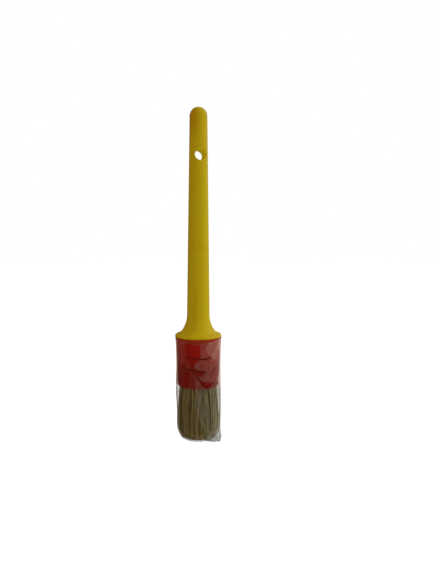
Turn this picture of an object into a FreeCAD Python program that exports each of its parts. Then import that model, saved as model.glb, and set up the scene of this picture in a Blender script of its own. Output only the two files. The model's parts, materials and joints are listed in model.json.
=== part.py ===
import FreeCAD, Part
import math
import os

# Round bristle paint brush in its film sleeve, in millimetres.
# The origin is the centre of the hanging hole. +Z runs up the handle to its tip, the hanging hole
# runs along Y, and the bristle points down. The film sleeve's folded corner is on the +X side.

# ---- driving dimensions -------------------------------------------------------------------------

# handle: one hollow moulding
tip_above_hole = 32.0
flange_below_hole = 123.4      # hole centre to the flange's underside, which sits on the ferrule
stem_tip_r = 6.0
stem_root_r = 7.85
flare_length = 12.5            # where the stem spreads into the flange
flare_hollow = 0.5             # how hollow the flare is: 0 is a straight slope, 0.71 a quarter ellipse
flange_overhang = 0.35         # how far the flange stands out past the ferrule's collar
flange_edge_height = 2.0       # from the end of the flare to the underside
flange_edge_round = 1.6
flange_corner_round = 0.3
handle_wall = 2.2
solid_below_hole = 12.0        # the stem is solid round the hole, down to this depth
hang_hole_r = 3.75
hang_hole_edge_round = 0.45

# spigot: the handle's lower end, snapped into the ferrule
spigot_length = 10.0
bead_below_flange = 5.0
bead_height = 0.45
fit_clearance = 0.1            # radial gap between the spigot and the ferrule

# ferrule: a moulded ring with a collar at the top, slightly narrower at its lower lip
ferrule_top_r = 15.15
ferrule_taper = 0.75           # how much smaller its radius is at the lip
ferrule_length = 34.4
ferrule_wall = 1.5
ferrule_lip_round = 1.0
collar_stand_out = 0.6         # how far the collar stands out past the ferrule's side
collar_height = 2.5
collar_chamfer = 0.5

# cast resin over the bristle roots
resin_thickness = 6.5
seat_clearance = 0.05          # gap that keeps touching round faces apart

# spacer plug in the middle of the bristle
plug_r = 4.6
plug_taper = 1.2
plug_length = 15.0

# bristle knot
bristle_out_length = 36.9      # from the ferrule's lip to the tips
bristle_spread = 1.6           # how far the belly stands out past the ferrule's bore at the lip
tip_round_r = 5.0              # the rounded tip, measured across
tip_round_height = 10.5        # the rounded tip, measured along Z

# film sleeve: a closed pouch, open at the top
film_wall = 0.2
film_ferrule_gap = 0.3
film_bristle_gap = 0.45
film_below_collar = 0.5
ear_stand_out = 1.6            # how far the folded corner stands out past the pouch
ear_rise = 6.0                 # how far up the pouch's side it starts, above the belly
ear_drop = 5.0                 # how far it hangs below the pouch
ear_width = 11.0               # how much of the pouch's bottom it takes in
ear_thickness = 0.8

# ---- sizes and places that follow ---------------------------------------------------------------

collar_r = ferrule_top_r + collar_stand_out
flange_r = collar_r + flange_overhang
ferrule_lip_r = ferrule_top_r - ferrule_taper
plug_tip_r = plug_r - plug_taper
belly_r = ferrule_lip_r - ferrule_wall + bristle_spread
tip_face_r = belly_r - tip_round_r

flange_z = -flange_below_hole
flare_end_z = flange_z + flange_edge_height
flare_start_z = flare_end_z + flare_length
spigot_end_z = flange_z - spigot_length
bead_z = flange_z - bead_below_flange
collar_end_z = flange_z - collar_height
ferrule_lip_z = flange_z - ferrule_length
resin_end_z = spigot_end_z - resin_thickness
plug_tip_z = resin_end_z - plug_length
bristle_tip_z = ferrule_lip_z - bristle_out_length
belly_z = bristle_tip_z + tip_round_height
film_top_z = collar_end_z - film_below_collar


# ---- helpers ------------------------------------------------------------------------------------

def at(r, z):
    """A point of a profile: its distance from the axis and its height."""
    return FreeCAD.Vector(r, 0, z)


def line(a, b):
    return Part.makeLine(at(*a), at(*b))


def arc(a, middle, b):
    return Part.Arc(at(*a), at(*middle), at(*b)).toShape()


def quarter_ellipse(centre, vertical_end, horizontal_end, hollow=math.sqrt(0.5)):
    """A quarter ellipse from the end level with its centre to the end above or below it.
    A smaller hollow pulls the curve in towards its chord."""
    (cr, cz), (sr, _), (_, ez) = centre, vertical_end, horizontal_end
    weights = [1.0, hollow, 1.0]
    curve = Part.BezierCurve()
    curve.setPoles([at(sr, cz), at(sr, ez), at(cr, ez)])
    for index, weight in enumerate(weights, start=1):
        curve.setWeight(index, weight)
    return curve.toShape()


def turn(edges):
    """The solid of revolution of a closed profile about the Z axis."""
    face = Part.Face(Part.Wire(edges))
    return face.revolve(FreeCAD.Vector(0, 0, 0), FreeCAD.Vector(0, 0, 1), 360)


def taper(top, bottom, z):
    """The radius at height z on the straight taper between two (radius, height) points."""
    (top_r, top_z), (bottom_r, bottom_z) = top, bottom
    return top_r + (bottom_r - top_r) * (top_z - z) / (top_z - bottom_z)


def ferrule_outer_r(z):
    return taper((ferrule_top_r, flange_z), (ferrule_lip_r, ferrule_lip_z), z)


def ferrule_bore_r(z):
    return ferrule_outer_r(z) - ferrule_wall


# ---- handle -------------------------------------------------------------------------------------

def handle_outside():
    """Domed tip, tapered stem, concave flare, round-edged flange and the spigot below it."""
    dome_z = tip_above_hole - stem_tip_r
    slant = math.sqrt(0.5) * stem_tip_r
    flare_end_r = flange_r - flange_edge_round
    edge_z = flare_end_z - flange_edge_round
    edge_in = flange_edge_round * (1 - math.sqrt(0.5))
    corner_z = flange_z + flange_corner_round
    corner_in = flange_corner_round * (1 - math.sqrt(0.5))
    spigot_top_r = ferrule_bore_r(flange_z) - fit_clearance
    spigot_end_r = ferrule_bore_r(spigot_end_z) - fit_clearance
    return turn([
        arc((0, tip_above_hole), (slant, dome_z + slant), (stem_tip_r, dome_z)),
        line((stem_tip_r, dome_z), (stem_root_r, flare_start_z)),
        quarter_ellipse((flare_end_r, flare_start_z), (stem_root_r, flare_start_z),
                        (flare_end_r, flare_end_z), flare_hollow),
        arc((flare_end_r, flare_end_z), (flange_r - edge_in, flare_end_z - edge_in),
            (flange_r, edge_z)),
        line((flange_r, edge_z), (flange_r, corner_z)),
        arc((flange_r, corner_z), (flange_r - corner_in, flange_z + corner_in),
            (flange_r - flange_corner_round, flange_z)),
        line((flange_r - flange_corner_round, flange_z), (spigot_top_r, flange_z)),
        line((spigot_top_r, flange_z), (spigot_end_r, spigot_end_z)),
        line((spigot_end_r, spigot_end_z), (0, spigot_end_z)),
        line((0, spigot_end_z), (0, tip_above_hole)),
    ])


def handle_cavity():
    """The moulding's hollow, open at the spigot and closed by a dome below the hanging hole."""
    mouth_r = ferrule_bore_r(spigot_end_z) - fit_clearance - handle_wall
    root_r = stem_root_r - handle_wall
    dome_top_z = -solid_below_hole
    stem_r = taper((stem_tip_r, tip_above_hole - stem_tip_r), (stem_root_r, flare_start_z), dome_top_z)
    end_r = stem_r - handle_wall
    dome_z = dome_top_z - end_r
    slant = math.sqrt(0.5) * end_r
    shoulder_z = flare_end_z - handle_wall
    return turn([
        arc((0, dome_top_z), (slant, dome_z + slant), (end_r, dome_z)),
        line((end_r, dome_z), (root_r, flare_start_z)),
        quarter_ellipse((mouth_r, flare_start_z), (root_r, flare_start_z), (mouth_r, shoulder_z),
                        flare_hollow),
        line((mouth_r, shoulder_z), (mouth_r, spigot_end_z)),
        line((mouth_r, spigot_end_z), (0, spigot_end_z)),
        line((0, spigot_end_z), (0, dome_top_z)),
    ])


def bead(extra):
    """The ring on the spigot that snaps into the ferrule's groove; extra makes it the groove."""
    ring_r = bead_height + extra
    spigot_r = ferrule_bore_r(bead_z) - fit_clearance
    return Part.makeTorus(spigot_r, ring_r, FreeCAD.Vector(0, 0, bead_z))


def make_handle():
    handle = handle_outside().cut(handle_cavity())
    reach = 2 * flange_r
    hole = Part.makeCylinder(hang_hole_r, reach, FreeCAD.Vector(0, -reach / 2, 0), FreeCAD.Vector(0, 1, 0))
    handle = handle.cut(hole)
    rims = [edge for edge in handle.Edges
            if abs(edge.CenterOfMass.y) > 1
            and all(abs(math.hypot(end.X, end.Z) - hang_hole_r) < 0.001 for end in edge.Vertexes)]
    handle = handle.makeFillet(hang_hole_edge_round, rims)
    return handle.fuse(bead(0)).removeSplitter()


# ---- ferrule and what it holds ------------------------------------------------------------------

def make_ferrule():
    bore_top = (ferrule_bore_r(flange_z), flange_z)
    bore_lip = (ferrule_bore_r(ferrule_lip_z), ferrule_lip_z)
    collar_foot_r = ferrule_outer_r(collar_end_z)
    round_in = ferrule_lip_round * (1 - math.sqrt(0.5))
    side_z = ferrule_lip_z + ferrule_lip_round
    side_r = ferrule_outer_r(side_z)
    under = (side_r - ferrule_lip_round, ferrule_lip_z)
    ring = turn([
        line(bore_top, (collar_r, flange_z)),
        line((collar_r, flange_z), (collar_r, collar_end_z + collar_chamfer)),
        line((collar_r, collar_end_z + collar_chamfer), (collar_foot_r, collar_end_z)),
        line((collar_foot_r, collar_end_z), (side_r, side_z)),
        arc((side_r, side_z), (side_r - round_in, ferrule_lip_z + round_in), under),
        line(under, bore_lip),
        line(bore_lip, bore_top),
    ])
    return ring.cut(bead(fit_clearance))


def make_resin():
    top_r = ferrule_bore_r(spigot_end_z) - seat_clearance
    end_r = ferrule_bore_r(resin_end_z) - seat_clearance
    return turn([
        line((0, spigot_end_z), (top_r, spigot_end_z)),
        line((top_r, spigot_end_z), (end_r, resin_end_z)),
        line((end_r, resin_end_z), (0, resin_end_z)),
        line((0, resin_end_z), (0, spigot_end_z)),
    ])


def plug_solid(gap):
    """The tapered plug; gap makes it the space that the bristle leaves for it."""
    end = (plug_tip_r + gap, plug_tip_z - gap)
    return turn([
        line((0, resin_end_z), (plug_r + gap, resin_end_z)),
        line((plug_r + gap, resin_end_z), end),
        line(end, (0, end[1])),
        line((0, end[1]), (0, resin_end_z)),
    ])


def make_bristle_knot():
    """The round bundle: held straight in the ferrule, spreading to a belly, with a rounded tip."""
    root = (ferrule_bore_r(resin_end_z) - seat_clearance, resin_end_z)
    lip = (ferrule_bore_r(ferrule_lip_z) - seat_clearance, ferrule_lip_z)
    belly = (belly_r, belly_z)
    waist_z = (ferrule_lip_z + belly_z) / 2
    waist_r = lip[0] + 0.68 * (belly_r - lip[0])
    face = (tip_face_r, bristle_tip_z)
    bundle = turn([
        line((0, resin_end_z), root),
        line(root, lip),
        arc(lip, (waist_r, waist_z), belly),
        quarter_ellipse((tip_face_r, belly_z), belly, face),
        line(face, (0, bristle_tip_z)),
        line((0, bristle_tip_z), (0, resin_end_z)),
    ])
    return bundle.cut(plug_solid(seat_clearance))


# ---- film sleeve --------------------------------------------------------------------------------

def pouch(extra):
    """The pouch's inside, or its outside where extra is the film's thickness. It widens upward."""
    mouth = (ferrule_outer_r(film_top_z) + film_ferrule_gap + extra, film_top_z)
    belly = (belly_r + film_bristle_gap + extra, belly_z)
    bottom_z = bristle_tip_z - film_bristle_gap - extra
    bottom = (tip_face_r, bottom_z)
    return turn([
        line((0, film_top_z), mouth),
        line(mouth, belly),
        quarter_ellipse((tip_face_r, belly_z), belly, bottom),
        line(bottom, (0, bottom_z)),
        line((0, bottom_z), (0, film_top_z)),
    ])


def ear():
    """The pouch's gathered corner: a flat fold that stands out from the side and hangs below."""
    bottom_z = bristle_tip_z - film_bristle_gap
    low_z = bottom_z - film_wall - ear_drop
    reach = belly_r + film_bristle_gap + film_wall + ear_stand_out
    outline = [(reach - ear_width, bottom_z), (belly_r, belly_z + ear_rise), (reach, belly_z),
               (reach, low_z + 0.4 * ear_drop), (reach - 0.1 * ear_width, low_z),
               (reach - 0.45 * ear_width, low_z)]
    corners = [FreeCAD.Vector(x, -ear_thickness / 2, z) for x, z in outline]
    face = Part.Face(Part.makePolygon(corners + corners[:1]))
    return face.extrude(FreeCAD.Vector(0, ear_thickness, 0))


def make_film_sleeve():
    return pouch(film_wall).fuse(ear()).cut(pouch(0))


# ---- write the parts ----------------------------------------------------------------------------

parts = {
    "handle": make_handle(),
    "ferrule": make_ferrule(),
    "root_resin": make_resin(),
    "spacer_plug": plug_solid(0),
    "bristle_knot": make_bristle_knot(),
    "film_sleeve": make_film_sleeve(),
}

os.makedirs("parts", exist_ok=True)
for name, shape in parts.items():
    if shape.ShapeType == "Compound" and len(shape.Solids) == 1:
        shape = shape.Solids[0]
    shape.exportStep(f"parts/{name}.step")
    box = shape.BoundBox
    print(f"{name}: {len(shape.Solids)} solid, {shape.Volume / 1000:.2f} cm3, valid {shape.isValid()},",
          f"x {box.XMin:.1f}..{box.XMax:.1f}, y {box.YMin:.1f}..{box.YMax:.1f},",
          f"z {box.ZMin:.1f}..{box.ZMax:.1f}")
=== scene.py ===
import json
import math

import bpy
import numpy as np
from mathutils import Euler, Matrix, Vector


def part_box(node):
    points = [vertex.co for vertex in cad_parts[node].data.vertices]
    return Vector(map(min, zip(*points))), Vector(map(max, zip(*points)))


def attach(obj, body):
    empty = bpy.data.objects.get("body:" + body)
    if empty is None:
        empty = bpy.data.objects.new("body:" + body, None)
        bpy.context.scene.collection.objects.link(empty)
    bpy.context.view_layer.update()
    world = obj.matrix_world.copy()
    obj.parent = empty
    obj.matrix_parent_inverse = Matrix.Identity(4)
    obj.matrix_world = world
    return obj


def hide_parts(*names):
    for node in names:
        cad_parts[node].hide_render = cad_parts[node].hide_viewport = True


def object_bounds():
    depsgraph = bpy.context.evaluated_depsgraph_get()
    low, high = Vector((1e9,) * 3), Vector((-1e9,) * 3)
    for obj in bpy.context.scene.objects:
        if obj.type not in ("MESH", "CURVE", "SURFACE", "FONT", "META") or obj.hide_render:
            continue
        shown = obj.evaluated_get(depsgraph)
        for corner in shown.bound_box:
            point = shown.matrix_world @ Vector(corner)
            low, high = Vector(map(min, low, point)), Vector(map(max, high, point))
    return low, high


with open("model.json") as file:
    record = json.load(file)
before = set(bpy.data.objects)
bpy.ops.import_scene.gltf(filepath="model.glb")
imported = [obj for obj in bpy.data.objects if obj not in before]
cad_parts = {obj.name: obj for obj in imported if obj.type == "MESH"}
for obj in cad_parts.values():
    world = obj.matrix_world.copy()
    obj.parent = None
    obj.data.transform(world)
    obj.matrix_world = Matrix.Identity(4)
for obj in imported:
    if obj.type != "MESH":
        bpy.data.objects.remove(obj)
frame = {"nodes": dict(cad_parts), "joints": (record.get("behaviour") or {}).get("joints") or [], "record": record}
cad_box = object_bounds()


# ---- camera -------------------------------------------------------------------------------------
# The brush hangs upright, level with the lens, which looks down on it a little from its left.
# "front" is the direction from the brush's axis to the lens, as an angle round the axis.

millimetre = 0.001
camera_distance = 380.5 * millimetre
camera_height = -55.6 * millimetre
camera_turn = math.radians(17.5)
camera_tilt = math.radians(5.2)
camera_swing = math.radians(1.89)
camera_roll = math.radians(0.22)
front = math.radians(-90) - camera_turn

camera_data = bpy.data.cameras.new("camera")
camera_data.lens = 34.5
camera_data.sensor_width = 36
camera = bpy.data.objects.new("camera", camera_data)
bpy.context.collection.objects.link(camera)
camera_place = Vector((camera_distance * math.cos(front), camera_distance * math.sin(front), camera_height))
camera_aim = Euler((math.radians(90) - camera_tilt, 0, -camera_turn - camera_swing)).to_matrix().to_4x4()
camera.matrix_world = Matrix.Translation(camera_place) @ camera_aim @ Matrix.Rotation(camera_roll, 4, "Z")
bpy.context.scene.camera = camera
bpy.context.scene.view_settings.view_transform = "Standard"


# ---- studio -------------------------------------------------------------------------------------
# A white room lit by one large soft box at the right and a little behind, with a dim warm side at
# the left. The room is white where it is looked at, and gloss mirrors mostly the soft box.

room_dim_side = (0.36, 0.29, 0.25, 1)
room_bright_side = (0.60, 0.64, 0.60, 1)
room_in_gloss_dim = (0.006, 0.006, 0.005, 1)
room_in_gloss_bright = (0.40, 0.40, 0.38, 1)
soft_box_turn, soft_box_rise = 96, 0.22    # degrees round from the lens to the right, and how steeply up
gloss_turn, gloss_rise = 118, 0.15
key_turn, key_rise = 100, 0.75             # the box's own strong light, from higher up
key_width = 35                             # how wide that light looks from the brush, in degrees
key_warm_white = (1.0, 0.98, 0.93)

room = bpy.data.worlds.new("studio")
room.use_nodes = True
room_nodes = room.node_tree.nodes
room_links = room.node_tree.links
bpy.context.scene.world = room


def mix_colour(nodes, links, share, low, high):
    """A colour mix: low where share is 0 and high where it is 1. Each may be a socket or a value."""
    node = nodes.new("ShaderNodeMix")
    node.data_type = "RGBA"
    for socket, value in ((node.inputs[0], share), (node.inputs[6], low), (node.inputs[7], high)):
        if isinstance(value, bpy.types.NodeSocket):
            links.new(value, socket)
        else:
            socket.default_value = value
    return node.outputs[2]


def spread(nodes, links, value, low, high, to_low=0.0, to_high=1.0):
    """Maps low..high of value to to_low..to_high, smoothly and without running past them."""
    node = nodes.new("ShaderNodeMapRange")
    node.interpolation_type = "SMOOTHSTEP"
    links.new(value, node.inputs["Value"])
    for name, number in (("From Min", low), ("From Max", high), ("To Min", to_low), ("To Max", to_high)):
        node.inputs[name].default_value = number
    return node.outputs["Result"]


def to_side(turn, rise):
    """A direction so many degrees round from the lens to the right, and so steeply up."""
    return Vector((math.cos(front + math.radians(turn)), math.sin(front + math.radians(turn)), rise))


def towards(side):
    """How far a direction of the room points to one side, from -1 to 1."""
    place = room_nodes.new("ShaderNodeTexCoord")
    dot = room_nodes.new("ShaderNodeVectorMath")
    dot.operation = "DOT_PRODUCT"
    room_links.new(place.outputs["Generated"], dot.inputs[0])
    dot.inputs[1].default_value = side.normalized()
    return dot.outputs["Value"]


ray = room_nodes.new("ShaderNodeLightPath")
soft_share = spread(room_nodes, room_links, towards(to_side(soft_box_turn, soft_box_rise)), -1.0, 1.0)
gloss_share = spread(room_nodes, room_links, towards(to_side(gloss_turn, gloss_rise)), 0.1, 0.95)
room_light = mix_colour(room_nodes, room_links, soft_share, room_dim_side, room_bright_side)
room_gloss = mix_colour(room_nodes, room_links, gloss_share, room_in_gloss_dim, room_in_gloss_bright)
room_lit = mix_colour(room_nodes, room_links, ray.outputs["Is Glossy Ray"], room_light, room_gloss)
room_seen = mix_colour(room_nodes, room_links, ray.outputs["Is Camera Ray"], room_lit, (1, 1, 1, 1))
room_links.new(room_seen, room_nodes["Background"].inputs["Color"])

key_light = bpy.data.lights.new("soft_box", "SUN")
key_light.energy = 0.55
key_light.angle = math.radians(key_width)
key_light.color = key_warm_white
key = bpy.data.objects.new("soft_box", key_light)
bpy.context.collection.objects.link(key)
key.rotation_mode = "QUATERNION"
key.rotation_quaternion = to_side(key_turn, key_rise).to_track_quat("Z", "Y")


# ---- floor --------------------------------------------------------------------------------------
# A light table of white acrylic, glowing softly, under the hanging brush. It is low enough for
# the film sleeve to be pulled all the way off above it.

sleeve_travel = frame["joints"][0]["range_m"][1]
floor_clearance = 2 * millimetre
floor_height = cad_box[0].z - sleeve_travel - floor_clearance
floor_radius = 6.0
floor_sides = 96
floor_white = (0.88, 0.88, 0.88, 1)
floor_shade = (0.83, 0.83, 0.83, 1)


def mesh_piece(name, points, faces, smooth=True):
    """A mesh object made of points in metres and faces of point numbers."""
    mesh = bpy.data.meshes.new(name)
    mesh.from_pydata([tuple(p) for p in points], [], [tuple(int(i) for i in f) for f in faces])
    mesh.polygons.foreach_set("use_smooth", [smooth] * len(mesh.polygons))
    mesh.update()
    piece = bpy.data.objects.new(name, mesh)
    bpy.context.collection.objects.link(piece)
    return piece


def new_material(name):
    """A material with its nodes, its links and its Principled shader."""
    material = bpy.data.materials.new(name)
    material.use_nodes = True
    nodes = material.node_tree.nodes
    return material, nodes, material.node_tree.links, nodes["Principled BSDF"]


floor_turns = [math.tau * i / floor_sides for i in range(floor_sides)]
floor_rim = [(floor_radius * math.cos(t), floor_radius * math.sin(t), floor_height) for t in floor_turns]
floor = mesh_piece("floor", floor_rim, [range(floor_sides)], smooth=False)
acrylic, nodes, links, shader = new_material("light_table_acrylic")
mottle = nodes.new("ShaderNodeTexNoise")
mottle.inputs["Scale"].default_value = 9.0
mottle.inputs["Detail"].default_value = 3.0
mottled = mix_colour(nodes, links, mottle.outputs["Fac"], floor_shade, floor_white)
links.new(mottled, shader.inputs["Base Color"])
shader.inputs["Roughness"].default_value = 0.55
shader.inputs["Specular IOR Level"].default_value = 0.1
shader.inputs["Emission Color"].default_value = (1, 1, 1, 1)
shader.inputs["Emission Strength"].default_value = 0.62
underside = nodes.new("ShaderNodeNewGeometry")
unseen = nodes.new("ShaderNodeBsdfTransparent")
either = nodes.new("ShaderNodeMixShader")
links.new(underside.outputs["Backfacing"], either.inputs["Fac"])
links.new(shader.outputs["BSDF"], either.inputs[1])
links.new(unseen.outputs["BSDF"], either.inputs[2])
links.new(either.outputs["Shader"], nodes["Material Output"].inputs["Surface"])
floor.data.materials.append(acrylic)
floor.visible_diffuse = False
floor.visible_glossy = False


# ---- handle -------------------------------------------------------------------------------------
# The handle is one hollow moulding of yellow polypropylene, with a domed tip, a cross hole to hang
# it by and a flared flange. The mould's two halves leave a fine line down each side.

handle_yellow = (0.735, 0.525, 0.003, 1)
handle_amber_and_painted_shade = (0.66, 0.36, 0.001, 1)
handle_pale = (0.80, 0.64, 0.05, 1)
# painted light: the hole is a brighter yellow, for light bounced and let through inside it
hole_painted_light_yellow = (0.74, 0.62, 0.004, 1)
hole_painted_glow = (0.075, 0.060, 0.0, 1)         # painted glow, for light that comes through the wall into the hole
hole_edge = (1.02, 1.12)                   # where the hole's painted light ends, in hole radii
parting_line_width = 0.22 * millimetre
tip_shade_heights = (4 * millimetre, 24 * millimetre)     # painted shade: the solid tip is a deeper amber down one side
tip_shade_side = (-5 * millimetre, 1 * millimetre)
hang_hole_r = frame["record"]["mounts"][0]["dims"]["r_mm"] * millimetre


def new_group(name, inputs, outputs):
    """A shader node group with named sockets, each a (name, type, value), and its end nodes."""
    group = bpy.data.node_groups.new(name, "ShaderNodeTree")
    for socket_name, kind, value in inputs:
        socket = group.interface.new_socket(socket_name, in_out="INPUT", socket_type=kind)
        socket.default_value = value
    for socket_name, kind in outputs:
        group.interface.new_socket(socket_name, in_out="OUTPUT", socket_type=kind)
    given, made = group.nodes.new("NodeGroupInput"), group.nodes.new("NodeGroupOutput")
    return group, group.nodes, group.links, given, made


def place_group(nodes, group, **values):
    """Puts a group in a material and sets its inputs; an underscore in a name stands for a space."""
    node = nodes.new("ShaderNodeGroup")
    node.node_tree = group
    for name, value in values.items():
        node.inputs[name.replace("_", " ")].default_value = value
    return node


def noise(nodes, links, scale, detail=3.0, stretch=(1, 1, 1), turned=(0, 0, 0)):
    """Noise in the piece's own metres, stretched and turned. scale is in features per metre."""
    place = nodes.new("ShaderNodeTexCoord")
    mapping = nodes.new("ShaderNodeMapping")
    mapping.inputs["Scale"].default_value = stretch
    mapping.inputs["Rotation"].default_value = turned
    texture = nodes.new("ShaderNodeTexNoise")
    texture.inputs["Scale"].default_value = scale
    texture.inputs["Detail"].default_value = detail
    links.new(place.outputs["Object"], mapping.inputs["Vector"])
    links.new(mapping.outputs["Vector"], texture.inputs["Vector"])
    return texture.outputs["Fac"]


def maths(nodes, links, operation, *values):
    """One Math node; each value may be a socket or a number."""
    node = nodes.new("ShaderNodeMath")
    node.operation = operation
    for socket, value in zip(node.inputs, values):
        if isinstance(value, bpy.types.NodeSocket):
            links.new(value, socket)
        else:
            socket.default_value = value
    return node.outputs[0]


def piece_axes(nodes, links):
    """The X, Y and Z of the surface in the piece's own metres."""
    place = nodes.new("ShaderNodeTexCoord")
    apart = nodes.new("ShaderNodeSeparateXYZ")
    links.new(place.outputs["Object"], apart.inputs["Vector"])
    return apart.outputs["X"], apart.outputs["Y"], apart.outputs["Z"]


def raise_surface(nodes, links, shader, height, distance, strength=1.0):
    """Gives a material its fine relief, from a height that changes over the surface."""
    bump = nodes.new("ShaderNodeBump")
    bump.inputs["Distance"].default_value = distance
    bump.inputs["Strength"].default_value = strength
    links.new(height, bump.inputs["Height"])
    links.new(bump.outputs["Normal"], shader.inputs["Normal"])


# Moulded plastic: flow streaks along the piece, a fine grain and the scuffs of handling.
moulded, nodes, links, given, made = new_group(
    "moulded_plastic",
    [("Colour", "NodeSocketColor", (1, 1, 1, 1)), ("Flow Colour", "NodeSocketColor", (1, 1, 1, 1)),
     ("Scuff Colour", "NodeSocketColor", (1, 1, 1, 1)), ("Flow", "NodeSocketFloat", 0.3),
     ("Scuffs", "NodeSocketFloat", 0.2), ("Roughness", "NodeSocketFloat", 0.4)],
    [("Colour", "NodeSocketColor"), ("Roughness", "NodeSocketFloat"), ("Height", "NodeSocketFloat")])
flow = spread(nodes, links, noise(nodes, links, 210, 4, (1, 1, 0.10)), 0.35, 0.70)
cloud = spread(nodes, links, noise(nodes, links, 70, 3), 0.35, 0.65)
grain = noise(nodes, links, 3200, 2)
scratch = spread(nodes, links, noise(nodes, links, 900, 3, (1, 1, 0.035), (0.05, 0.12, 0)), 0.62, 0.72)
nick = spread(nodes, links, noise(nodes, links, 1100, 2, (1, 1, 0.5), (0.4, 0.2, 0.3)), 0.68, 0.76)
scuff = maths(nodes, links, "MAXIMUM", scratch, nick)
scuff = maths(nodes, links, "MULTIPLY", scuff, given.outputs["Scuffs"])
uneven = maths(nodes, links, "MULTIPLY", flow, cloud)
uneven = maths(nodes, links, "MULTIPLY", uneven, given.outputs["Flow"])
streaked = mix_colour(nodes, links, uneven, given.outputs["Colour"], given.outputs["Flow Colour"])
links.new(mix_colour(nodes, links, scuff, streaked, given.outputs["Scuff Colour"]), made.inputs["Colour"])
rough = maths(nodes, links, "MULTIPLY_ADD", scuff, 0.35, given.outputs["Roughness"])
rough = maths(nodes, links, "MULTIPLY_ADD", grain, 0.10, rough)
links.new(rough, made.inputs["Roughness"])
links.new(maths(nodes, links, "MULTIPLY_ADD", scuff, -1.6, grain), made.inputs["Height"])

handle = frame["nodes"]["handle"]
yellow, nodes, links, shader = new_material("yellow_moulded_plastic")
plastic = place_group(nodes, moulded, Colour=handle_yellow, Flow_Colour=handle_amber_and_painted_shade,
                      Scuff_Colour=handle_pale, Flow=0.45, Scuffs=0.25, Roughness=0.36)
x, y, z = piece_axes(nodes, links)
parting = spread(nodes, links, maths(nodes, links, "ABSOLUTE", y), 0.0, parting_line_width, 1.0, 0.0)
across_hole = nodes.new("ShaderNodeCombineXYZ")
links.new(x, across_hole.inputs["X"])
links.new(z, across_hole.inputs["Z"])
from_hole = nodes.new("ShaderNodeVectorMath")
from_hole.operation = "LENGTH"
links.new(across_hole.outputs["Vector"], from_hole.inputs[0])
in_hole = spread(nodes, links, from_hole.outputs["Value"],
                 hang_hole_r * hole_edge[0], hang_hole_r * hole_edge[1], 1.0, 0.0)
# Painted shade: one side of the tip turns a deeper amber.
at_tip = spread(nodes, links, z, *tip_shade_heights)
on_side = spread(nodes, links, x, *tip_shade_side, 1.0, 0.1)
tip_painted_shade = maths(nodes, links, "MULTIPLY", at_tip, on_side)
coloured = mix_colour(nodes, links, tip_painted_shade, plastic.outputs["Colour"], handle_amber_and_painted_shade)
# Painted light: the hang hole is a brighter yellow and glows a little.
coloured = mix_colour(nodes, links, in_hole, coloured, hole_painted_light_yellow)
links.new(coloured, shader.inputs["Base Color"])
painted_glow = mix_colour(nodes, links, in_hole, (0, 0, 0, 1), hole_painted_glow)
links.new(painted_glow, shader.inputs["Emission Color"])
shader.inputs["Emission Strength"].default_value = 1.0
links.new(plastic.outputs["Roughness"], shader.inputs["Roughness"])
seamed = maths(nodes, links, "MULTIPLY_ADD", parting, 3.0, plastic.outputs["Height"])
raise_surface(nodes, links, shader, seamed, 0.02 * millimetre, 0.6)
shader.inputs["Specular IOR Level"].default_value = 0.10
shader.inputs["IOR"].default_value = 1.49
handle.material_slots[0].material = yellow


# ---- ferrule ------------------------------------------------------------------------------------
# The ferrule is a moulded ring of glossy red plastic. It snaps over the bead on the handle's
# spigot and tapers a little towards its rounded lip.

ferrule_red = (0.47, 0.008, 0.001, 1)
ferrule_deep_red = (0.26, 0.007, 0.001, 1)
ferrule_pale_red = (0.50, 0.05, 0.03, 1)
ferrule_warm_red = (0.43, 0.040, 0.003, 1)
ferrule_low, ferrule_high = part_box("ferrule")
# The red deepens down the side, and is warmer in a band round the collar.
deep_heights = (ferrule_low.z + 8 * millimetre, ferrule_high.z - 4 * millimetre)
warm_heights = (ferrule_high.z - 3.2 * millimetre, ferrule_high.z - 2.0 * millimetre)

ferrule = frame["nodes"]["ferrule"]
red, nodes, links, shader = new_material("red_moulded_plastic")
plastic = place_group(nodes, moulded, Colour=ferrule_red, Flow_Colour=ferrule_deep_red,
                      Scuff_Colour=ferrule_pale_red, Flow=0.35, Scuffs=0.15, Roughness=0.24)
height = piece_axes(nodes, links)[2]
deeper = spread(nodes, links, height, *deep_heights, 0.95, 0.0)
warmer = spread(nodes, links, height, *warm_heights, 0.0, 0.8)
coloured = mix_colour(nodes, links, deeper, plastic.outputs["Colour"], ferrule_deep_red)
coloured = mix_colour(nodes, links, warmer, coloured, ferrule_warm_red)
links.new(coloured, shader.inputs["Base Color"])
links.new(plastic.outputs["Roughness"], shader.inputs["Roughness"])
raise_surface(nodes, links, shader, plastic.outputs["Height"], 0.012 * millimetre, 0.5)
shader.inputs["Specular IOR Level"].default_value = 0.2
ferrule.material_slots[0].material = red


# ---- root resin ---------------------------------------------------------------------------------
# A disc of amber resin, poured over the bristle roots inside the ferrule and set there. It locks
# the bristle and the spacer plug in place, and small bubbles are caught in it.

resin_amber = (0.30, 0.15, 0.045, 1)
resin_brown = (0.10, 0.055, 0.025, 1)

resin = frame["nodes"]["root_resin"]
amber, nodes, links, shader = new_material("cast_resin_amber")
root_ends = nodes.new("ShaderNodeTexVoronoi")
root_ends.inputs["Scale"].default_value = 2600
place = nodes.new("ShaderNodeTexCoord")
links.new(place.outputs["Object"], root_ends.inputs["Vector"])
speckle = spread(nodes, links, root_ends.outputs["Distance"], 0.15, 0.45)
bubble = spread(nodes, links, noise(nodes, links, 700, 2), 0.60, 0.70)
links.new(mix_colour(nodes, links, speckle, resin_brown, resin_amber), shader.inputs["Base Color"])
links.new(maths(nodes, links, "MULTIPLY_ADD", bubble, 0.3, 0.28), shader.inputs["Roughness"])
raise_surface(nodes, links, shader, bubble, 0.08 * millimetre)
resin.material_slots[0].material = amber


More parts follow.
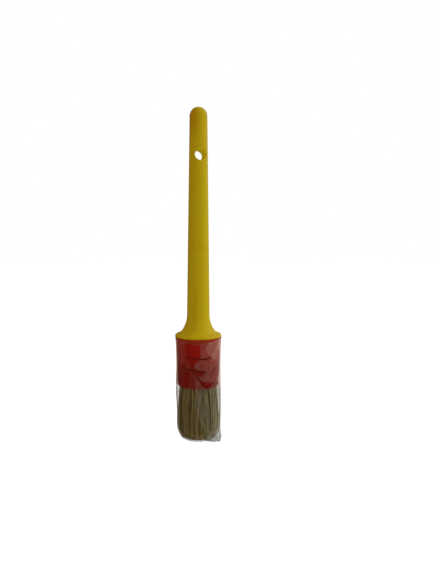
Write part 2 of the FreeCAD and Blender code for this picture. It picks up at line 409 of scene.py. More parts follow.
# ---- spacer plug --------------------------------------------------------------------------------
# A tapered plug of undyed plastic in the middle of the bristle, set in the resin. The bristle is
# packed round it, which leaves a hollow that holds paint.

plug_cream = (0.55, 0.50, 0.40, 1)
plug_stain = (0.38, 0.31, 0.20, 1)

plug = frame["nodes"]["spacer_plug"]
cream, nodes, links, shader = new_material("undyed_plug_plastic")
plastic = place_group(nodes, moulded, Colour=plug_cream, Flow_Colour=plug_stain,
                      Scuff_Colour=plug_stain, Flow=0.5, Scuffs=0.4, Roughness=0.5)
links.new(plastic.outputs["Colour"], shader.inputs["Base Color"])
links.new(plastic.outputs["Roughness"], shader.inputs["Roughness"])
raise_surface(nodes, links, shader, plastic.outputs["Height"], 0.03 * millimetre)
plug.material_slots[0].material = cream


# ---- bristle knot -------------------------------------------------------------------------------
# A round bundle of natural bristle, dark brown, mid brown and straw mixed. It leaves the ferrule
# tight, spreads to a belly and is cut to a rounded tip. The strands lie in loose locks.

ferrule_lip_z = ferrule_low.z
knot_low, knot_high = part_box("bristle_knot")
knot_tip_z = knot_low.z
knot_belly_r = knot_high.x
knot_spread = 1.6 * millimetre
knot_lip_r = knot_belly_r - knot_spread
tip_round_r = 5.0 * millimetre
tip_round_height = 10.5 * millimetre
knot_belly_z = knot_tip_z + tip_round_height
lip_to_belly = 1.644                     # how soon the bundle spreads, below the lip
root_hidden = 2.5 * millimetre           # how far the drawn strands reach up into the ferrule
strand_r = 0.16 * millimetre
strand_r_range = (0.7, 1.25)
strand_end_share = 0.62                  # how thick a strand still is at its end
strand_sides = 3
strand_slack = 0.16 * millimetre         # how far strands waver in from the bundle's outside
strand_lean = 0.42                       # how far the outermost lean in, as a share of the tip's rounding
strand_drift = 0.05                      # how far strands stray round by the tip, in radians
strand_waver = 0.012
cut_slack = 0.25 * millimetre            # how far a strand may stand past the rounded cut
cut_unevenness = (1.5, 0.40)             # the ends' gamma spread, its shape and its millimetres
cut_below = 0.7                          # how far below the cut the lowest ends lie, in millimetres
long_strands = {"count": 2000, "share": (0.90, 1.0), "steps": 15}
short_strands = {"count": 1300, "share": (0.0, 0.93), "steps": 4, "length": 7 * millimetre}
lock_count = 74
lock_shift = 0.3                         # how unevenly the locks stand round the bundle
lock_pull = 0.5                          # how far a lock draws its strands together by the tip
lock_tone_spread = 0.09
bristle_tones = {
    "bristle_dark": {"share": 0.30, "root": (0.19, 0.130, 0.040, 1), "tip": (0.25, 0.175, 0.056, 1)},
    "bristle_brown": {"share": 0.40, "root": (0.33, 0.235, 0.074, 1), "tip": (0.42, 0.31, 0.105, 1)},
    "bristle_straw": {"share": 0.30, "root": (0.50, 0.375, 0.145, 1), "tip": (0.60, 0.46, 0.195, 1)},
}
bristle_random = np.random.default_rng(11)


def ramp(values, low, high):
    """0 at low, 1 at high and evenly between them. low may be the larger one."""
    return np.clip((values - low) / (high - low), 0, 1)


def knot_r(z):
    """The bundle's outer radius at some heights, from the ferrule's lip to the tip."""
    down = ramp(z, ferrule_lip_z, knot_belly_z)
    side = knot_lip_r + knot_spread * (1 - (1 - down) ** lip_to_belly)
    past_belly = ramp(z, knot_belly_z, knot_tip_z)
    return side - tip_round_r * (1 - np.sqrt(1 - past_belly ** 2))


def lean_r(z):
    """The radius of an outermost strand, which leans in near the tip less than the cut does."""
    past_belly = ramp(z, knot_belly_z, knot_tip_z)
    return knot_r(np.maximum(z, knot_belly_z)) - strand_lean * tip_round_r * past_belly ** 2


def strand_lines(count, share, steps, length=None):
    """Centre lines of strands, an array (strand, step, 3), and the strands' lock numbers.
    share is how far out from the middle they lie. They start at the root, or a length above their end."""
    out_share = np.sqrt(bristle_random.uniform(share[0] ** 2, share[1] ** 2, count))
    turn = bristle_random.uniform(0, math.tau, count)
    lock = np.floor(turn / math.tau * lock_count).astype(int)
    lock_turn = (lock + 0.5 + lock_shift * np.sin(lock * 2.4)) / lock_count * math.tau
    heights = np.linspace(knot_belly_z, knot_tip_z, 60)
    fits = out_share[:, None] * lean_r(heights)[None, :] <= knot_r(heights)[None, :] + cut_slack
    end = heights[np.argmin(np.where(fits, 1, 0), axis=1)]
    end = np.where(fits.all(axis=1), knot_tip_z, end)
    end = end + (bristle_random.gamma(*cut_unevenness, count) - cut_below) * millimetre
    top = ferrule_lip_z + root_hidden
    start = np.full(count, top) if length is None else end + length
    z = start[:, None] + (end - start)[:, None] * np.linspace(0, 1, steps)[None, :]
    fall = ramp(z, top, knot_tip_z)
    wave = bristle_random.uniform(0, math.tau, (2, count, 1))
    pull = lock_pull * fall ** 1.5 * (lock_turn - turn)[:, None]
    drift = bristle_random.normal(0, strand_drift, (count, 1)) * fall
    theta = turn[:, None] + pull + drift + strand_waver * np.sin(wave[0] + 5 * fall)
    r = np.minimum(out_share[:, None] * lean_r(z), knot_r(z) - strand_r * 0.4)
    r = r - strand_slack * (1 + np.sin(wave[1] + 7 * fall)) * fall
    return np.stack([r * np.cos(theta), r * np.sin(theta), z], -1), lock


def strand_tubes(lines, thickness):
    """Points and faces of one thin tube round each line, closed at its end and tapered to it."""
    count, steps, _ = lines.shape
    around = np.arange(strand_sides) * math.tau / strand_sides
    taper = np.linspace(1.0, strand_end_share, steps)
    ring = np.stack([np.cos(around), np.sin(around), np.zeros(strand_sides)], -1)
    wide = thickness[:, None, None, None] * taper[None, :, None, None] * ring[None, None]
    points = (lines[:, :, None, :] + wide).reshape(-1, 3)
    strand = np.arange(count)[:, None, None] * steps * strand_sides
    step = np.arange(steps - 1)[None, :, None] * strand_sides
    side = np.arange(strand_sides)[None, None, :]
    a = strand + step + side
    b = strand + step + (side + 1) % strand_sides
    quads = np.stack([a, a + strand_sides, b + strand_sides, b], -1).reshape(-1, 4)
    last = (np.arange(count)[:, None] * steps + steps - 1) * strand_sides
    caps = last + np.arange(strand_sides)[None, ::-1]
    return points, quads.tolist() + caps.tolist()


# Bristle colour: from root to tip, and a little different on every strand and every lock.
bristle_colour, nodes, links, given, made = new_group(
    "bristle_colour",
    [("Root Colour", "NodeSocketColor", (1, 1, 1, 1)), ("Tip Colour", "NodeSocketColor", (1, 1, 1, 1)),
     ("Lip Height", "NodeSocketFloat", 0.0), ("Tip Height", "NodeSocketFloat", 0.0),
     ("Unevenness", "NodeSocketFloat", 0.5)],
    [("Colour", "NodeSocketColor"), ("Roughness", "NodeSocketFloat"), ("Height", "NodeSocketFloat")])
down = nodes.new("ShaderNodeMapRange")
links.new(piece_axes(nodes, links)[2], down.inputs["Value"])
links.new(given.outputs["Lip Height"], down.inputs["From Min"])
links.new(given.outputs["Tip Height"], down.inputs["From Max"])
strand_noise = noise(nodes, links, 1500, 2, (1, 1, 0.03))
strand_shade = spread(nodes, links, strand_noise, 0.30, 0.70)
lock_shade = spread(nodes, links, noise(nodes, links, 800, 2, (1, 1, 0.05)), 0.35, 0.65)
tone = maths(nodes, links, "MULTIPLY_ADD", strand_shade, 0.45,
             maths(nodes, links, "MULTIPLY", lock_shade, 0.55))
shade = maths(nodes, links, "MULTIPLY_ADD", maths(nodes, links, "SUBTRACT", tone, 0.5),
              given.outputs["Unevenness"], 1.0)
body = mix_colour(nodes, links, down.outputs["Result"],
                  given.outputs["Root Colour"], given.outputs["Tip Colour"])
shaded = nodes.new("ShaderNodeVectorMath")
shaded.operation = "SCALE"
links.new(body, shaded.inputs[0])
links.new(shade, shaded.inputs["Scale"])
links.new(shaded.outputs["Vector"], made.inputs["Colour"])
links.new(maths(nodes, links, "MULTIPLY_ADD", strand_noise, 0.3, 0.35), made.inputs["Roughness"])
links.new(strand_noise, made.inputs["Height"])


def bristle_material(name, root, tip, unevenness):
    material, nodes, links, shader = new_material(name)
    strand = place_group(nodes, bristle_colour, Root_Colour=root, Tip_Colour=tip,
                         Lip_Height=ferrule_lip_z, Tip_Height=knot_tip_z, Unevenness=unevenness)
    links.new(strand.outputs["Colour"], shader.inputs["Base Color"])
    links.new(strand.outputs["Roughness"], shader.inputs["Roughness"])
    raise_surface(nodes, links, shader, strand.outputs["Height"], 0.04 * millimetre)
    shader.inputs["Specular IOR Level"].default_value = 0.25
    return material


# The bundle's packed middle, under the strands that show. It takes the dark bristle's colours as painted shade,
# for the shade inside the bundle.
core_inset = 1.1 * millimetre
core_short = 2.6 * millimetre
core_ridge = 0.18 * millimetre
core_sides = 144
core_rings = 40
ring_z = np.linspace(ferrule_lip_z + root_hidden, knot_tip_z + core_short, core_rings)
ring_turn = np.arange(core_sides) * math.tau / core_sides
ring_r = (knot_r(ring_z - core_short) - core_inset)[:, None]
ring_r = ring_r + core_ridge * np.sin(ring_turn * lock_count)[None, :]
core_points = np.stack([ring_r * np.cos(ring_turn), ring_r * np.sin(ring_turn),
                        np.repeat(ring_z[:, None], core_sides, axis=1)], -1).reshape(-1, 3)
core_faces = [(i * core_sides + j, (i + 1) * core_sides + j,
               (i + 1) * core_sides + (j + 1) % core_sides, i * core_sides + (j + 1) % core_sides)
              for i in range(core_rings - 1) for j in range(core_sides)]
core_faces.append([(core_rings - 1) * core_sides + j for j in reversed(range(core_sides))])
core_faces.append(list(range(core_sides)))
core = mesh_piece("bristle_packed_middle", core_points, core_faces)
shadowed = bristle_tones["bristle_dark"]
core.data.materials.append(bristle_material("bristle_middle_painted_shade", shadowed["root"], shadowed["tip"], 1.1))
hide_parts("bristle_knot")
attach(core, "brush")

long_lines, long_locks = strand_lines(**long_strands)
short_lines, short_locks = strand_lines(**short_strands)
lock_tone = bristle_random.uniform(-lock_tone_spread, lock_tone_spread, lock_count)
tone_edges = np.cumsum([0] + [tone["share"] for tone in bristle_tones.values()])
long_tone = bristle_random.uniform(0, 1, long_strands["count"]) + lock_tone[long_locks]
short_tone = bristle_random.uniform(0, 1, short_strands["count"]) + lock_tone[short_locks]
long_tone, short_tone = np.clip(long_tone, 0, 0.999), np.clip(short_tone, 0, 0.999)
long_thick = strand_r * bristle_random.uniform(*strand_r_range, long_strands["count"])
short_thick = strand_r * bristle_random.uniform(*strand_r_range, short_strands["count"])
for index, (name, tone) in enumerate(bristle_tones.items()):
    low, high = tone_edges[index], tone_edges[index + 1]
    long_ones = (long_tone >= low) & (long_tone < high)
    short_ones = (short_tone >= low) & (short_tone < high)
    points, faces = strand_tubes(long_lines[long_ones], long_thick[long_ones])
    more_points, more_faces = strand_tubes(short_lines[short_ones], short_thick[short_ones])
    more_faces = [[i + len(points) for i in face] for face in more_faces]
    strands = mesh_piece(name, np.concatenate([points, more_points]), faces + more_faces)
    strands.data.materials.append(bristle_material(name, tone["root"], tone["tip"], 0.75))
    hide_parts("bristle_knot")
    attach(strands, "brush")


# ---- film sleeve --------------------------------------------------------------------------------
# A sheet of thin clear packing film, wrapped round the ferrule and the bristle with a wide lap and
# gathered shut under the tip. It is creased where it was pulled tight, and hazy where it doubles.

# Painted light on the film: shade in its creases, at its gathered bottom and in its folds, highlights along some
# creases and the mouth, and a red tint over the ferrule.
film_haze_grey = (0.60, 0.57, 0.48, 1)
film_haze_painted_red_light = (0.92, 0.55, 0.47, 1)   # painted red light: cloudy film over the ferrule is tinted with the red behind it
film_rim_painted_shade = (0.30, 0.27, 0.20, 1)        # painted shade where it is seen edge on, through many thicknesses
# painted shade, for the dark creases, the gathered bottom and the milky folds
film_crease_painted_shade = (0.02, 0.012, 0.008, 1)
rim_alpha = 0.85
film_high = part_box("film_sleeve")[1]
film_top_z = film_high.z
film_mouth_r = film_high.y - 0.2 * millimetre
film_over_bristle = 0.42 * millimetre
film_under_tip = 0.85 * millimetre
film_bottom_z = knot_tip_z - film_under_tip
film_belly_r = knot_belly_r + film_over_bristle
film_neck_r = 0.8 * millimetre               # the gathered hole at the middle of the bottom
lap_turn = 104.0                             # how far round the second layer reaches, in degrees
lap_gap = 0.16 * millimetre
sheet_turns = 360 + lap_turn
film_columns = 384
film_rows = 230
side_rows = 176                              # of those rows, the ones above the bottom's curve
curve_rows = 32                              # and the ones round that curve
ripple_count = 26
ripple_height = 0.016 * millimetre
pleat_count = 9
pleat_height = 0.35 * millimetre
facet_count = 90
flare_all_round, flare_at_sides, flare_depth = 0.10, 0.45, 4.0     # the mouth's shape, in millimetres
edge_flare, edge_depth = 0.12, 0.5
lift_all_round, lift_at_sides, lift_depth = 0.40, 2.1, 2.5
lift_waves, lift_wave_height = 7, 0.10
pleat_sag, lap_sag = 0.7, 0.10
film_random = np.random.default_rng(5)

# Places on the film are (degrees round from the front, millimetres below the mouth).
gather_below = (58, 68)                      # where the gathering starts, and where it is full
lip_below = (31, 33)
bottom_below = (64, 68.5)
bottom_dark_below = (67, 69)
back_turns = (66, 78)
lap_fade = (lap_turn + 14, lap_turn - 10)    # where the second layer comes to lie on the first
lap_edge = [(4, 0), (3.5, 8.5), (-2, 11), (-16, 17.6), (-6, 25), (-6.5, 31), (-7.7, 44), (6, 54),
            (21, 62), (34, 70)]
# Each crease: how far it stands out, its width, how dark it shows (painted shade) and how pale (painted
# highlight), and its line.
creases = [
    (0.10, 0.65, 0.70, 0.0, [(-33, 9), (-10, 9.8), (12, 10.4), (33, 9.6)]),
    (0.10, 0.80, 0.65, 0.0, [(-45, 15.4), (-32, 17.6), (-18, 17.8)]),
    (-0.08, 0.60, 0.45, 0.0, [(-18, 17.6), (0, 18.2), (19, 19.5)]),
    (0.12, 0.45, 0.60, 0.0, [(-18, 17.6), (-8, 21), (2, 24.3), (12, 28.6), (21, 30)]),
    (0.12, 0.55, 0.50, 0.0, [(21, 30), (34, 29.2), (45, 27)]),
    (0.10, 0.45, 0.50, 0.0, [(35, 20.5), (44, 18.6), (52, 16.2)]),
    (0.10, 0.65, 0.95, 0.0, [(26, 31.5), (31, 42), (35, 53), (33, 60)]),
    (0.20, 0.70, 0.0, 0.35, [(9, 6.4), (20, 3), (32, 0.4)]),
    (0.20, 0.80, 0.0, 0.35, [(36, 12), (50, 7), (62, 1)]),
    (0.20, 0.50, 0.0, 0.30, [(-17, 18), (-22, 24), (-26, 31)]),
    (0.20, 0.50, 0.0, 0.30, [(2, 24.6), (-2, 28), (-7, 31)]),
    (0.25, 0.60, 0.0, 0.30, [(-58, 30), (-55, 40), (-50, 55)]),
    (0.25, 0.60, 0.0, 0.30, [(60, 24), (66, 36), (70, 52)]),
    (0.30, 0.60, 0.40, 0.20, [(-150, 6), (-120, 12), (-95, 20), (-80, 30)]),
    (0.30, 0.60, 0.40, 0.20, [(-140, 40), (-165, 30), (-170, 18)]),
    (0.30, 0.60, 0.40, 0.20, [(120, 6), (140, 15), (150, 28), (145, 45)]),
    (0.25, 0.50, 0.40, 0.20, [(100, 30), (125, 24), (150, 28)]),
    (0.25, 0.50, 0.40, 0.20, [(165, 50), (175, 38), (190, 32)]),
]
# Where the film lies flat on the plastic it is clear, and the colour under it shows dark and pure.
clear_patches = [
    [(-33, 0.6), (3, 0.6), (7, 9.6), (-32, 9.2)],
    [(-29, 9.0), (8, 10.2), (-4, 12.4), (-11, 15.0), (-17.7, 18), (-22, 14)],
    [(-14, 15.4), (-3, 17.6), (19, 18.9), (7, 22.4), (-2, 21.6), (-12, 18.6)],
    [(-1, 22.4), (9, 25.0), (20, 26.4), (46, 26.6), (34, 29.8), (24, 31), (16, 29.2), (6, 26.0)],
    [(-37, 19.4), (-20, 18.8), (-24, 26), (-27, 31), (-40, 31)],
]
# Where it is doubled, rubbed or stands away from the brush it is cloudier, by the share given. Part of this
# cloudiness is painted reflection of the light.
haze_and_reflection_patches = [
    (0.26, [(22, -1), (78, -1), (78, 13), (44, 11), (20, 6)]),
    (0.50, [(30, 63), (92, 56), (96, 74), (24, 74)]),
    (0.20, [(-110, -1), (-35, -1), (-38, 10), (-46, 16), (-60, 20), (-110, 20)]),
    (0.55, [(-110, -1), (-58, -1), (-60, 12), (-68, 20), (-70, 32), (-110, 32)]),
    (0.22, [(64, 12), (96, 12), (96, 34), (70, 34)]),
]
# Below the ferrule's lip it stands off the bristle in two milky folds, one at each side.
milky_folds = [
    [(-134, 31), (-104, 27), (-62, 28), (-47, 31.4), (-55, 37), (-62, 43), (-76, 52), (-98, 50),
     (-128, 40)],
    [(48, 31.4), (62, 28), (104, 27), (134, 30), (122, 46), (98, 54), (74, 54), (61, 42)],
]
# Where it stands away from the bristle: the place, the size round and down, and how far it stands.
stand_offs = [
    ((-72, 36), (17, 8), 0.55),
    ((76, 48), (24, 24), 0.75),
    ((150, 44), (25, 14), 0.6),
    ((-150, 50), (22, 12), 0.5),
]
# How cloudy each kind of place is. The pale creases and the mouth's pale line are painted highlights, and the
# facets' cloudiness is painted reflection.
film_cloudiness = 0.54
cloudy = {"ferrule": 0.18, "bristle": 0.06, "lap on ferrule": 0.20, "lap on bristle": 0.50, "facet": 0.40,
          "bottom": 0.85, "pale crease": 0.45, "mouth": 0.30, "lap edge": 0.10, "milky fold": 0.75}
bottom_painted_shade = 0.13
milky_fold_painted_shade = 0.065


def millimetres_round(turn):
    """How far round the film so many degrees are."""
    return turn * math.radians(1) * film_mouth_r / millimetre


def line_distance(turn, below, places):
    """How far each point of the film is from a line of places, in millimetres along the film."""
    nearest = np.full(turn.shape, np.inf)
    for (t0, b0), (t1, b1) in zip(places[:-1], places[1:]):
        dx, dy = millimetres_round(t1 - t0), b1 - b0
        px, py = millimetres_round(turn - t0), below - b0
        share = np.clip((px * dx + py * dy) / (dx * dx + dy * dy), 0, 1)
        nearest = np.minimum(nearest, np.hypot(px - share * dx, py - share * dy))
    return nearest


def inside(turn, below, places, soft_edge=0.3):
    """1 inside a closed outline of places and 0 outside it, with an edge so many millimetres soft."""
    within = np.zeros(turn.shape, bool)
    for (t0, b0), (t1, b1) in zip(places, places[1:] + places[:1]):
        if b0 != b1:
            crossing = (b0 > below) != (b1 > below)
            within ^= crossing & (turn < (t1 - t0) * (below - b0) / (b1 - b0) + t0)
    edge = line_distance(turn, below, places + places[:1])
    return np.clip(0.5 + np.where(within, edge, -edge) / soft_edge, 0, 1)


def turn_between(turn, other):
    """The turn from one place round to another, the short way."""
    return (turn - other + 180) % 360 - 180


def film_profile():
    """The film's radius and height down the side, round under the tip and in to the gather."""
    side = np.linspace(0, 1, side_rows)
    curve = np.linspace(0, math.pi / 2, curve_rows + 1)[1:]
    inward = np.linspace(0, 1, film_rows - side_rows - curve_rows + 1)[1:]
    face_r = knot_belly_r - tip_round_r
    r = np.concatenate([film_mouth_r + (film_belly_r - film_mouth_r) * side,
                        face_r + (film_belly_r - face_r) * np.cos(curve),
                        face_r + (film_neck_r - face_r) * inward])
    z = np.concatenate([film_top_z + (knot_belly_z - film_top_z) * side,
                        knot_belly_z + (film_bottom_z - knot_belly_z) * np.sin(curve),
                        np.full(len(inward), film_bottom_z)])
    return r[:, None], z[:, None]


# The sheet runs once round from the lap's edge and on under itself.
profile_r, profile_z = film_profile()
below = np.repeat((film_top_z - profile_z) / millimetre, film_columns, axis=1)
edge_turn = np.interp(below[:, :1], [b for _, b in lap_edge], [t for t, _ in lap_edge])
from_edge = np.linspace(0, 1, film_columns)[None, :] * sheet_turns
sheet_turn = edge_turn + from_edge
turn = turn_between(sheet_turn, 0)
turn_radians = np.radians(turn)
lap_share = ramp(from_edge, *lap_fade)
lap_share = lap_share * lap_share * (3 - 2 * lap_share)

outward = lap_gap * lap_share
dark = np.zeros(below.shape)
pale = np.zeros(below.shape)
for out, wide, darkness, paleness, line in creases:
    off = line_distance(turn, below, line)
    if max(t for t, _ in line) > 180:
        off = np.minimum(off, line_distance(turn + 360, below, line))
    outward = outward + out * millimetre * np.exp(-off / wide)
    dark = np.maximum(dark, darkness * np.exp(-(off / (0.55 * wide)) ** 2))
    pale = np.maximum(pale, paleness * np.exp(-(off / wide) ** 2))
for (at_turn, at_below), (wide, tall), out in stand_offs:
    off = (turn_between(turn, at_turn) / wide) ** 2 + ((below - at_below) / tall) ** 2
    outward = outward + out * millimetre * np.exp(-off)
for _ in range(ripple_count):
    waves = film_random.integers(3, 22)
    lean = film_random.normal(0, 0.09)
    phase, height = film_random.uniform(0, math.tau), film_random.uniform(0.3, 1)
    outward = outward + ripple_height * height * np.sin(turn_radians * waves + lean * below + phase)
gather = ramp(below, *gather_below)
pleats = np.abs(np.sin(turn_radians * pleat_count + 0.4 * np.sin(turn_radians * 2)))
still_side = ramp(profile_r, 3 * millimetre, film_belly_r)
outward = outward + pleat_height * gather * (pleats - 0.5) * still_side
film_r = profile_r + outward * np.where(below < gather_below[0], 1, still_side)

# The mouth is flared, and stands higher at the sides. The bottom sags between its pleats.
at_side = np.sin(turn_radians) ** 2
flare = (flare_all_round + flare_at_sides * at_side) * np.exp(-below / flare_depth)
flare = flare + edge_flare * np.exp(-below / edge_depth)
lift = lift_all_round + lift_at_sides * at_side + lift_wave_height * np.sin(turn_radians * lift_waves)
lift = lift * np.exp(-below / lift_depth)
under_tip = ramp(profile_r, film_belly_r * 0.72, 0)
sag = pleat_sag * under_tip * (pleats - 0.9) - lap_sag * lap_share * (profile_z < knot_belly_z)
film_theta = front + np.radians(sheet_turn)
film_r = film_r + flare * millimetre
film_z = profile_z + (lift + sag) * millimetre
film_points = np.stack([film_r * np.cos(film_theta), film_r * np.sin(film_theta), film_z], -1)
first = np.arange(film_rows - 1)[:, None] * film_columns + np.arange(film_columns - 1)[None, :]
film_faces = np.stack([first, first + film_columns, first + film_columns + 1, first + 1], -1)
film = mesh_piece("clear_film_sleeve", film_points.reshape(-1, 3), film_faces.reshape(-1, 4))

clear_share = np.zeros(below.shape)
for patch in clear_patches:
    clear_share = np.maximum(clear_share, inside(turn, below, patch))
haze_and_reflection_share = np.zeros(below.shape)
for more, patch in haze_and_reflection_patches:
    haze_and_reflection_share = np.maximum(haze_and_reflection_share, more * inside(turn, below, patch))
fold_share = np.zeros(below.shape)
for patch in milky_folds:
    fold_share = np.maximum(fold_share, inside(turn, below, patch))

# Round the sides and the back it is split into patches like the flat facets of crumpled film, each clouded by its
# own amount: a painted reflection of the light each facet would catch.
facet_turn = film_random.uniform(-180, 180, facet_count)
facet_below = film_random.uniform(0, 72, facet_count)
facet_reflection = film_random.uniform(0, 1, facet_count) ** 2
nearest, facet_painted_reflection = np.full(turn.shape, np.inf), np.zeros(turn.shape)
for at_turn, at_below, cloud in zip(facet_turn, facet_below, facet_reflection):
    off = np.hypot(millimetres_round(turn_between(turn, at_turn)) * 1.5, below - at_below)
    facet_painted_reflection = np.where(off < nearest, cloud, facet_painted_reflection)
    nearest = np.minimum(nearest, off)

past_lip = ramp(below, *lip_below)
lapped = ramp(lap_share, 0.4, 0.6)
at_back = ramp(np.abs(turn), *back_turns)
single = cloudy["ferrule"] + (cloudy["bristle"] - cloudy["ferrule"]) * past_lip
double = cloudy["lap on ferrule"] + (cloudy["lap on bristle"] - cloudy["lap on ferrule"]) * past_lip
film_haze = single + double * lapped + haze_and_reflection_share
film_haze = film_haze + cloudy["facet"] * facet_painted_reflection * (0.12 + 0.88 * at_back)
film_haze = film_haze + cloudy["bottom"] * ramp(below, *bottom_below)
film_haze = film_haze * (1 - clear_share) * (1 - 0.8 * np.clip(dark * 2.5, 0, 1))
# Painted highlights: pale lines along some creases and just below the mouth.
film_haze = film_haze + cloudy["pale crease"] * pale
film_haze = film_haze + cloudy["mouth"] * np.exp(-(below / 0.45) ** 2)
film_haze = film_haze + cloudy["lap edge"] * np.exp(-(from_edge / 1.2) ** 2)
film_haze = np.maximum(film_cloudiness * film_haze, cloudy["milky fold"] * fold_share)
# Painted shade: the film darkens at the gathered bottom, under the tip, and in the milky folds.
dark = np.maximum(dark, bottom_painted_shade * ramp(below, *bottom_dark_below))
dark = np.maximum(dark, milky_fold_painted_shade * fold_share)


def paint(piece, name, values):
    """Stores one number for each point of a mesh, for its material to read."""
    attribute = piece.data.attributes.new(name, "FLOAT", "POINT")
    attribute.data.foreach_set("value", np.clip(values, 0, 1).astype(np.float32).ravel())


paint(film, "haze", film_haze)
paint(film, "crease", dark)

# Crumpled film: how much it clouds what is behind it, and what colour the cloudiness has. Its Crease input darkens
# it towards the Crease Colour, a painted shade.
crumpled, nodes, links, given, made = new_group(
    "crumpled_film",
    [("Haze", "NodeSocketFloat", 0.3), ("Crease", "NodeSocketFloat", 0.0),
     ("Clear Alpha", "NodeSocketFloat", 0.05), ("Hazy Alpha", "NodeSocketFloat", 0.3),
     ("Crinkle", "NodeSocketFloat", 0.3),
     ("Haze Colour", "NodeSocketColor", (1, 1, 1, 1)), ("Crease Colour", "NodeSocketColor", (0, 0, 0, 1))],
    [("Colour", "NodeSocketColor"), ("Alpha", "NodeSocketFloat"), ("Roughness", "NodeSocketFloat"),
     ("Height", "NodeSocketFloat")])
crinkle = spread(nodes, links, noise(nodes, links, 330, 4, (1, 1, 0.55)), 0.42, 0.66)
fine = spread(nodes, links, noise(nodes, links, 1100, 3, (1, 1, 0.3)), 0.45, 0.70)
mottle = maths(nodes, links, "MULTIPLY_ADD", fine, 0.4, maths(nodes, links, "MULTIPLY", crinkle, 0.6))
mottle = maths(nodes, links, "MULTIPLY", mottle, given.outputs["Crinkle"])
mottled = maths(nodes, links, "ADD", maths(nodes, links, "MULTIPLY", mottle, 1.6), 0.6)
solid = nodes.new("ShaderNodeMapRange")
links.new(maths(nodes, links, "MULTIPLY", given.outputs["Haze"], mottled), solid.inputs["Value"])
links.new(given.outputs["Clear Alpha"], solid.inputs["To Min"])
links.new(given.outputs["Hazy Alpha"], solid.inputs["To Max"])
in_crease = maths(nodes, links, "MULTIPLY", given.outputs["Crease"], 0.62)
links.new(maths(nodes, links, "MAXIMUM", solid.outputs["Result"], in_crease), made.inputs["Alpha"])
creased = spread(nodes, links, given.outputs["Crease"], 0.02, 0.16)
coloured = mix_colour(nodes, links, creased, given.outputs["Haze Colour"], given.outputs["Crease Colour"])
links.new(coloured, made.inputs["Colour"])
links.new(maths(nodes, links, "MULTIPLY_ADD", mottle, 0.25, 0.16), made.inputs["Roughness"])
links.new(maths(nodes, links, "ADD", mottle, given.outputs["Haze"]), made.inputs["Height"])


def film_material(name, clear_alpha, hazy_alpha, crinkle, haze_colour, haze_painted_red_light, rim_painted_shade):
    """See-through film, clouded by its haze and its creases, and where it is seen edge on; its creases and edges
    carry painted shade, and its haze over the ferrule a painted red light.
    """
    material, nodes, links, shader = new_material(name)
    sheet = place_group(nodes, crumpled, Clear_Alpha=clear_alpha, Hazy_Alpha=hazy_alpha, Crinkle=crinkle,
                        Crease_Colour=film_crease_painted_shade)
    over_red = spread(nodes, links, piece_axes(nodes, links)[2], ferrule_lip_z - 0.5 * millimetre,
                      ferrule_lip_z + 0.5 * millimetre)
    links.new(mix_colour(nodes, links, over_red, haze_colour, haze_painted_red_light), sheet.inputs["Haze Colour"])
    for attribute_name, socket_name in (("haze", "Haze"), ("crease", "Crease")):
        attribute = nodes.new("ShaderNodeAttribute")
        attribute.attribute_name = attribute_name
        links.new(attribute.outputs["Fac"], sheet.inputs[socket_name])
    facing = nodes.new("ShaderNodeLayerWeight")
    facing.inputs["Blend"].default_value = 0.5
    edge_on = spread(nodes, links, facing.outputs["Facing"], 0.50, 0.84, 0.0, rim_alpha)
    links.new(maths(nodes, links, "MAXIMUM", sheet.outputs["Alpha"], edge_on), shader.inputs["Alpha"])
    # Painted shade: seen edge on, the film turns the darker rim colour.
    at_rim = spread(nodes, links, facing.outputs["Facing"], 0.52, 0.82)
    rim = mix_colour(nodes, links, over_red, rim_painted_shade, haze_painted_red_light)
    links.new(mix_colour(nodes, links, at_rim, sheet.outputs["Colour"], rim), shader.inputs["Base Color"])
    links.new(sheet.outputs["Roughness"], shader.inputs["Roughness"])
    raise_surface(nodes, links, shader, sheet.outputs["Height"], 0.10 * millimetre, 0.4)
    shader.inputs["Specular IOR Level"].default_value = 0.3
    return material


film.data.materials.append(film_material("clear_packing_film", 0.0, 0.63, 0.4,
                                         film_haze_grey, film_haze_painted_red_light, film_rim_painted_shade))
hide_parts("film_sleeve")
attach(film, "sleeve")


# ---- sleeve corner ------------------------------------------------------------------------------
# The spare film at one side of the gathered bottom, folded flat on itself and crumpled. It stands
# out from the sleeve's lower corner and hangs a little below the bristle.

corner_grey = (0.52, 0.52, 0.47, 1)
corner_rim_painted_shade = (0.40, 0.39, 0.34, 1)
corner_rows = 34
corner_columns = 46
# Both edges are (millimetres to the side, height in millimetres), from the bottom round to the side.
corner_root = [(5.0, -195.4), (9.5, -194.6), (13.0, -191.5), (14.9, -186.0), (15.1, -180.0)]
corner_rim = [(6.5, -199.4), (11.5, -200.3), (16.2, -200.3), (16.9, -197.0), (15.6, -180.4)]
corner_root_gap = 2.6 * millimetre           # how far the fold's two sides stand apart at its root
corner_rim_gap = 0.35 * millimetre
corner_turned_back = 0.6 * millimetre
crumple_count = 14
crumple_height = 0.17 * millimetre
corner_painted_shade = 0.12
corner_random = np.random.default_rng(23)


def along_places(places, share, samples=200, rounded=25):
    """Points spaced evenly along a line through a few places, with its bends rounded, in metres."""
    places = np.array(places) * millimetre
    fine = np.linspace(0, 1, samples)
    line = np.stack([np.interp(fine, np.linspace(0, 1, len(places)), places[:, k]) for k in range(2)], -1)
    kernel = np.hanning(rounded) / np.hanning(rounded).sum()
    padded = np.pad(line, ((rounded // 2, rounded // 2), (0, 0)), "edge")
    line = np.stack([np.convolve(padded[:, k], kernel, "valid") for k in range(2)], -1)
    return np.stack([np.interp(share, fine, line[:, k]) for k in range(2)], -1)


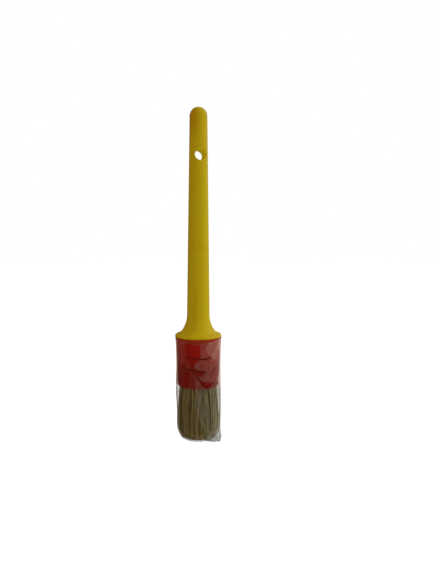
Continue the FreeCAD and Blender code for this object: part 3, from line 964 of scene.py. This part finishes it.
across = np.linspace(0, 1, corner_columns)
out_share = np.linspace(0, 1, corner_rows)[:, None]
root_line, rim_line = along_places(corner_root, across), along_places(corner_rim, across)
flat = root_line[None] + (rim_line - root_line)[None] * out_share[..., None]
crumple = np.zeros(flat.shape[:2])
for _ in range(crumple_count):
    way = corner_random.normal(0, 1, 2) * 700
    ripple = np.sin(flat[..., 0] * way[0] + flat[..., 1] * way[1] + corner_random.uniform(0, math.tau))
    crumple = crumple + crumple_height * (1 - 2 * np.abs(ripple))
corner_points = []
for side in (-1, 1):
    opened = side * (corner_root_gap * (1 - out_share) ** 1.2 + corner_rim_gap)
    bulge = np.sin(math.pi * across)[None, :] ** 0.5
    y = opened * bulge + crumple * (0.25 + 0.75 * out_share) - corner_turned_back * out_share
    corner_points.append(np.stack([flat[..., 0], y, flat[..., 1]], -1).reshape(-1, 3))
layer = corner_rows * corner_columns
corner_faces = []
for side in range(2):
    for i in range(corner_rows - 1):
        for j in range(corner_columns - 1):
            a = side * layer + i * corner_columns + j
            quad = (a, a + 1, a + corner_columns + 1, a + corner_columns)
            corner_faces.append(quad if side == 0 else quad[::-1])
for j in range(corner_columns - 1):
    a = (corner_rows - 1) * corner_columns + j
    corner_faces.append((a, a + 1, a + 1 + layer, a + layer))
sleeve_corner = mesh_piece("clear_film_corner", np.concatenate(corner_points), corner_faces)
fold_lines = np.clip(np.abs(crumple) / (0.5 * millimetre), 0, 1)
fold_haze = 0.45 + 0.55 * (1 - fold_lines) ** 2 + 0.2 * out_share ** 4
# Painted shade along the crumpled fold lines.
fold_painted_shade = corner_painted_shade * np.clip(fold_lines - 0.55, 0, 1)
paint(sleeve_corner, "haze", np.concatenate([fold_haze, fold_haze]))
paint(sleeve_corner, "crease", np.concatenate([fold_painted_shade, fold_painted_shade]))
sleeve_corner.data.materials.append(film_material("clear_packing_film_folded", 0.30, 0.85, 0.8,
                                                  corner_grey, corner_grey, corner_rim_painted_shade))
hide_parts("film_sleeve")
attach(sleeve_corner, "sleeve")
